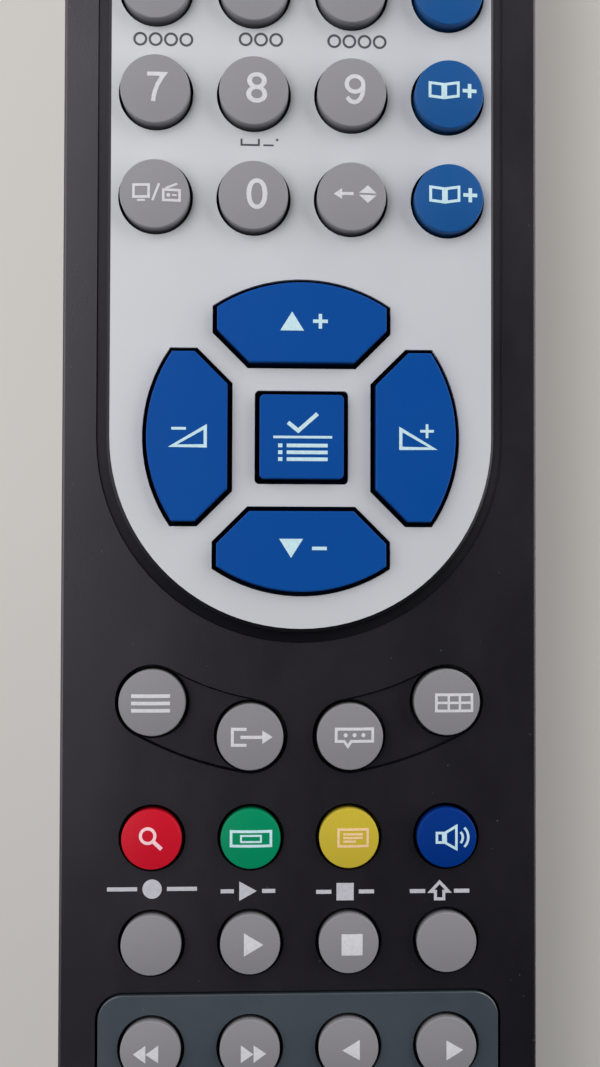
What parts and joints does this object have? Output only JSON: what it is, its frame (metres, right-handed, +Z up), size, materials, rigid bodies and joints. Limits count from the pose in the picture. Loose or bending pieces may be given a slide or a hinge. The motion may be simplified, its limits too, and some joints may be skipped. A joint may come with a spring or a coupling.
{
  "type": "remote-control handset",
  "caption": "Slim infrared remote-control handset with round keys, a navigation cross, an inset transport panel and a sliding battery door.",
  "frame": {"origin": "on the resting face of the back, at the middle of the width and of the length", "axes": "+X across the handset, +Y along it towards the infrared window, +Z up through the keys"},
  "size_m": [0.051, 0.2, 0.0241],
  "materials": {
    "black_case": "fine matte texture",
    "white_plate": "silvery white satin lacquer",
    "slate_panel": "satin blue-grey",
    "grey_key": "smooth matte silicone",
    "blue_key": "smooth matte silicone",
    "navy_key": "smooth matte silicone",
    "red_key": "smooth matte silicone",
    "green_key": "smooth matte silicone",
    "yellow_key": "smooth matte silicone",
    "mat_rubber": "silicone sheet",
    "board_green": "solder mask",
    "component_black": "moulded packages",
    "dark_window": "polished deep red-black",
    "led_clear": "clear epoxy",
    "battery_shell": "plain grey sleeve",
    "contact_steel": "nickel plate",
    "screw_steel": "black zinc"
  },
  "bodies": {
    "handset": {"top_case": "black_case", "bottom_case": "black_case", "face_plate": "white_plate", "transport_plate": "slate_panel", "keypad_mat": "mat_rubber", "circuit_board": "board_green", "board_components": "component_black", "infrared_window": "dark_window", "infrared_led": "led_clear", "battery_left": "battery_shell", "battery_right": "battery_shell", "link_contact": "contact_steel", "negative_contact": "contact_steel", "positive_contact": "contact_steel", "case_screws": "screw_steel"},
    "door": {"battery_door": "black_case"},
    "key_0": {"key_0": "grey_key"},
    "key_1": {"key_1": "grey_key"},
    "key_2": {"key_2": "grey_key"},
    "key_3": {"key_3": "grey_key"},
    "key_4": {"key_4": "grey_key"},
    "key_5": {"key_5": "grey_key"},
    "key_6": {"key_6": "grey_key"},
    "key_7": {"key_7": "grey_key"},
    "key_8": {"key_8": "grey_key"},
    "key_9": {"key_9": "grey_key"},
    "key_blue": {"key_blue": "navy_key"},
    "key_channel_down": {"key_channel_down": "blue_key"},
    "key_channel_up": {"key_channel_up": "blue_key"},
    "key_exit": {"key_exit": "grey_key"},
    "key_favourite": {"key_favourite": "blue_key"},
    "key_forward": {"key_forward": "grey_key"},
    "key_green": {"key_green": "green_key"},
    "key_guide": {"key_guide": "grey_key"},
    "key_info": {"key_info": "grey_key"},
    "key_menu": {"key_menu": "grey_key"},
    "key_mute": {"key_mute": "grey_key"},
    "key_next": {"key_next": "grey_key"},
    "key_ok": {"key_ok": "blue_key"},
    "key_page_down": {"key_page_down": "blue_key"},
    "key_page_up": {"key_page_up": "blue_key"},
    "key_pause": {"key_pause": "grey_key"},
    "key_play": {"key_play": "grey_key"},
    "key_power": {"key_power": "grey_key"},
    "key_previous": {"key_previous": "grey_key"},
    "key_recall": {"key_recall": "grey_key"},
    "key_record": {"key_record": "grey_key"},
    "key_red": {"key_red": "red_key"},
    "key_repeat": {"key_repeat": "grey_key"},
    "key_rewind": {"key_rewind": "grey_key"},
    "key_shift": {"key_shift": "grey_key"},
    "key_slow": {"key_slow": "grey_key"},
    "key_stop": {"key_stop": "grey_key"},
    "key_timer": {"key_timer": "grey_key"},
    "key_tv_radio": {"key_tv_radio": "grey_key"},
    "key_volume_down": {"key_volume_down": "blue_key"},
    "key_volume_up": {"key_volume_up": "blue_key"},
    "key_yellow": {"key_yellow": "yellow_key"},
    "key_zoom": {"key_zoom": "blue_key"}
  },
  "joints": [
    {"name": "press_0", "type": "slide", "parent": "handset", "child": "key_0", "axis": [0, 0, -1], "range_m": [0, 0.001], "stiffness_N_per_m": 1200},
    {"name": "press_1", "type": "slide", "parent": "handset", "child": "key_1", "axis": [0, 0, -1], "range_m": [0, 0.001], "stiffness_N_per_m": 1200},
    {"name": "press_2", "type": "slide", "parent": "handset", "child": "key_2", "axis": [0, 0, -1], "range_m": [0, 0.001], "stiffness_N_per_m": 1200},
    {"name": "press_3", "type": "slide", "parent": "handset", "child": "key_3", "axis": [0, 0, -1], "range_m": [0, 0.001], "stiffness_N_per_m": 1200},
    {"name": "press_4", "type": "slide", "parent": "handset", "child": "key_4", "axis": [0, 0, -1], "range_m": [0, 0.001], "stiffness_N_per_m": 1200},
    {"name": "press_5", "type": "slide", "parent": "handset", "child": "key_5", "axis": [0, 0, -1], "range_m": [0, 0.001], "stiffness_N_per_m": 1200},
    {"name": "press_6", "type": "slide", "parent": "handset", "child": "key_6", "axis": [0, 0, -1], "range_m": [0, 0.001], "stiffness_N_per_m": 1200},
    {"name": "press_7", "type": "slide", "parent": "handset", "child": "key_7", "axis": [0, 0, -1], "range_m": [0, 0.001], "stiffness_N_per_m": 1200},
    {"name": "press_8", "type": "slide", "parent": "handset", "child": "key_8", "axis": [0, 0, -1], "range_m": [0, 0.001], "stiffness_N_per_m": 1200},
    {"name": "press_9", "type": "slide", "parent": "handset", "child": "key_9", "axis": [0, 0, -1], "range_m": [0, 0.001], "stiffness_N_per_m": 1200},
    {"name": "press_blue", "type": "slide", "parent": "handset", "child": "key_blue", "axis": [0, 0, -1], "range_m": [0, 0.001], "stiffness_N_per_m": 1200},
    {"name": "press_channel_down", "type": "slide", "parent": "handset", "child": "key_channel_down", "axis": [0, 0, -1], "range_m": [0, 0.001], "stiffness_N_per_m": 1200},
    {"name": "press_channel_up", "type": "slide", "parent": "handset", "child": "key_channel_up", "axis": [0, 0, -1], "range_m": [0, 0.001], "stiffness_N_per_m": 1200},
    {"name": "press_exit", "type": "slide", "parent": "handset", "child": "key_exit", "axis": [0, 0, -1], "range_m": [0, 0.001], "stiffness_N_per_m": 1200},
    {"name": "press_favourite", "type": "slide", "parent": "handset", "child": "key_favourite", "axis": [0, 0, -1], "range_m": [0, 0.001], "stiffness_N_per_m": 1200},
    {"name": "press_forward", "type": "slide", "parent": "handset", "child": "key_forward", "axis": [0, 0, -1], "range_m": [0, 0.001], "stiffness_N_per_m": 1200},
    {"name": "press_green", "type": "slide", "parent": "handset", "child": "key_green", "axis": [0, 0, -1], "range_m": [0, 0.001], "stiffness_N_per_m": 1200},
    {"name": "press_guide", "type": "slide", "parent": "handset", "child": "key_guide", "axis": [0, 0, -1], "range_m": [0, 0.001], "stiffness_N_per_m": 1200},
    {"name": "press_info", "type": "slide", "parent": "handset", "child": "key_info", "axis": [0, 0, -1], "range_m": [0, 0.001], "stiffness_N_per_m": 1200},
    {"name": "press_menu", "type": "slide", "parent": "handset", "child": "key_menu", "axis": [0, 0, -1], "range_m": [0, 0.001], "stiffness_N_per_m": 1200},
    {"name": "press_mute", "type": "slide", "parent": "handset", "child": "key_mute", "axis": [0, 0, -1], "range_m": [0, 0.001], "stiffness_N_per_m": 1200},
    {"name": "press_next", "type": "slide", "parent": "handset", "child": "key_next", "axis": [0, 0, -1], "range_m": [0, 0.001], "stiffness_N_per_m": 1200},
    {"name": "press_ok", "type": "slide", "parent": "handset", "child": "key_ok", "axis": [0, 0, -1], "range_m": [0, 0.001], "stiffness_N_per_m": 1200},
    {"name": "press_page_down", "type": "slide", "parent": "handset", "child": "key_page_down", "axis": [0, 0, -1], "range_m": [0, 0.001], "stiffness_N_per_m": 1200},
    {"name": "press_page_up", "type": "slide", "parent": "handset", "child": "key_page_up", "axis": [0, 0, -1], "range_m": [0, 0.001], "stiffness_N_per_m": 1200},
    {"name": "press_pause", "type": "slide", "parent": "handset", "child": "key_pause", "axis": [0, 0, -1], "range_m": [0, 0.001], "stiffness_N_per_m": 1200},
    {"name": "press_play", "type": "slide", "parent": "handset", "child": "key_play", "axis": [0, 0, -1], "range_m": [0, 0.001], "stiffness_N_per_m": 1200},
    {"name": "press_power", "type": "slide", "parent": "handset", "child": "key_power", "axis": [0, 0, -1], "range_m": [0, 0.001], "stiffness_N_per_m": 1200},
    {"name": "press_previous", "type": "slide", "parent": "handset", "child": "key_previous", "axis": [0, 0, -1], "range_m": [0, 0.001], "stiffness_N_per_m": 1200},
    {"name": "press_recall", "type": "slide", "parent": "handset", "child": "key_recall", "axis": [0, 0, -1], "range_m": [0, 0.001], "stiffness_N_per_m": 1200},
    {"name": "press_record", "type": "slide", "parent": "handset", "child": "key_record", "axis": [0, 0, -1], "range_m": [0, 0.001], "stiffness_N_per_m": 1200},
    {"name": "press_red", "type": "slide", "parent": "handset", "child": "key_red", "axis": [0, 0, -1], "range_m": [0, 0.001], "stiffness_N_per_m": 1200},
    {"name": "press_repeat", "type": "slide", "parent": "handset", "child": "key_repeat", "axis": [0, 0, -1], "range_m": [0, 0.001], "stiffness_N_per_m": 1200},
    {"name": "press_rewind", "type": "slide", "parent": "handset", "child": "key_rewind", "axis": [0, 0, -1], "range_m": [0, 0.001], "stiffness_N_per_m": 1200},
    {"name": "press_shift", "type": "slide", "parent": "handset", "child": "key_shift", "axis": [0, 0, -1], "range_m": [0, 0.001], "stiffness_N_per_m": 1200},
    {"name": "press_slow", "type": "slide", "parent": "handset", "child": "key_slow", "axis": [0, 0, -1], "range_m": [0, 0.001], "stiffness_N_per_m": 1200},
    {"name": "press_stop", "type": "slide", "parent": "handset", "child": "key_stop", "axis": [0, 0, -1], "range_m": [0, 0.001], "stiffness_N_per_m": 1200},
    {"name": "press_timer", "type": "slide", "parent": "handset", "child": "key_timer", "axis": [0, 0, -1], "range_m": [0, 0.001], "stiffness_N_per_m": 1200},
    {"name": "press_tv_radio", "type": "slide", "parent": "handset", "child": "key_tv_radio", "axis": [0, 0, -1], "range_m": [0, 0.001], "stiffness_N_per_m": 1200},
    {"name": "press_volume_down", "type": "slide", "parent": "handset", "child": "key_volume_down", "axis": [0, 0, -1], "range_m": [0, 0.001], "stiffness_N_per_m": 1200},
    {"name": "press_volume_up", "type": "slide", "parent": "handset", "child": "key_volume_up", "axis": [0, 0, -1], "range_m": [0, 0.001], "stiffness_N_per_m": 1200},
    {"name": "press_yellow", "type": "slide", "parent": "handset", "child": "key_yellow", "axis": [0, 0, -1], "range_m": [0, 0.001], "stiffness_N_per_m": 1200},
    {"name": "press_zoom", "type": "slide", "parent": "handset", "child": "key_zoom", "axis": [0, 0, -1], "range_m": [0, 0.001], "stiffness_N_per_m": 1200},
    {"name": "door_slide", "type": "slide", "parent": "handset", "child": "door", "axis": [0, -1, 0], "range_m": [0, 0.064]}
  ]
}
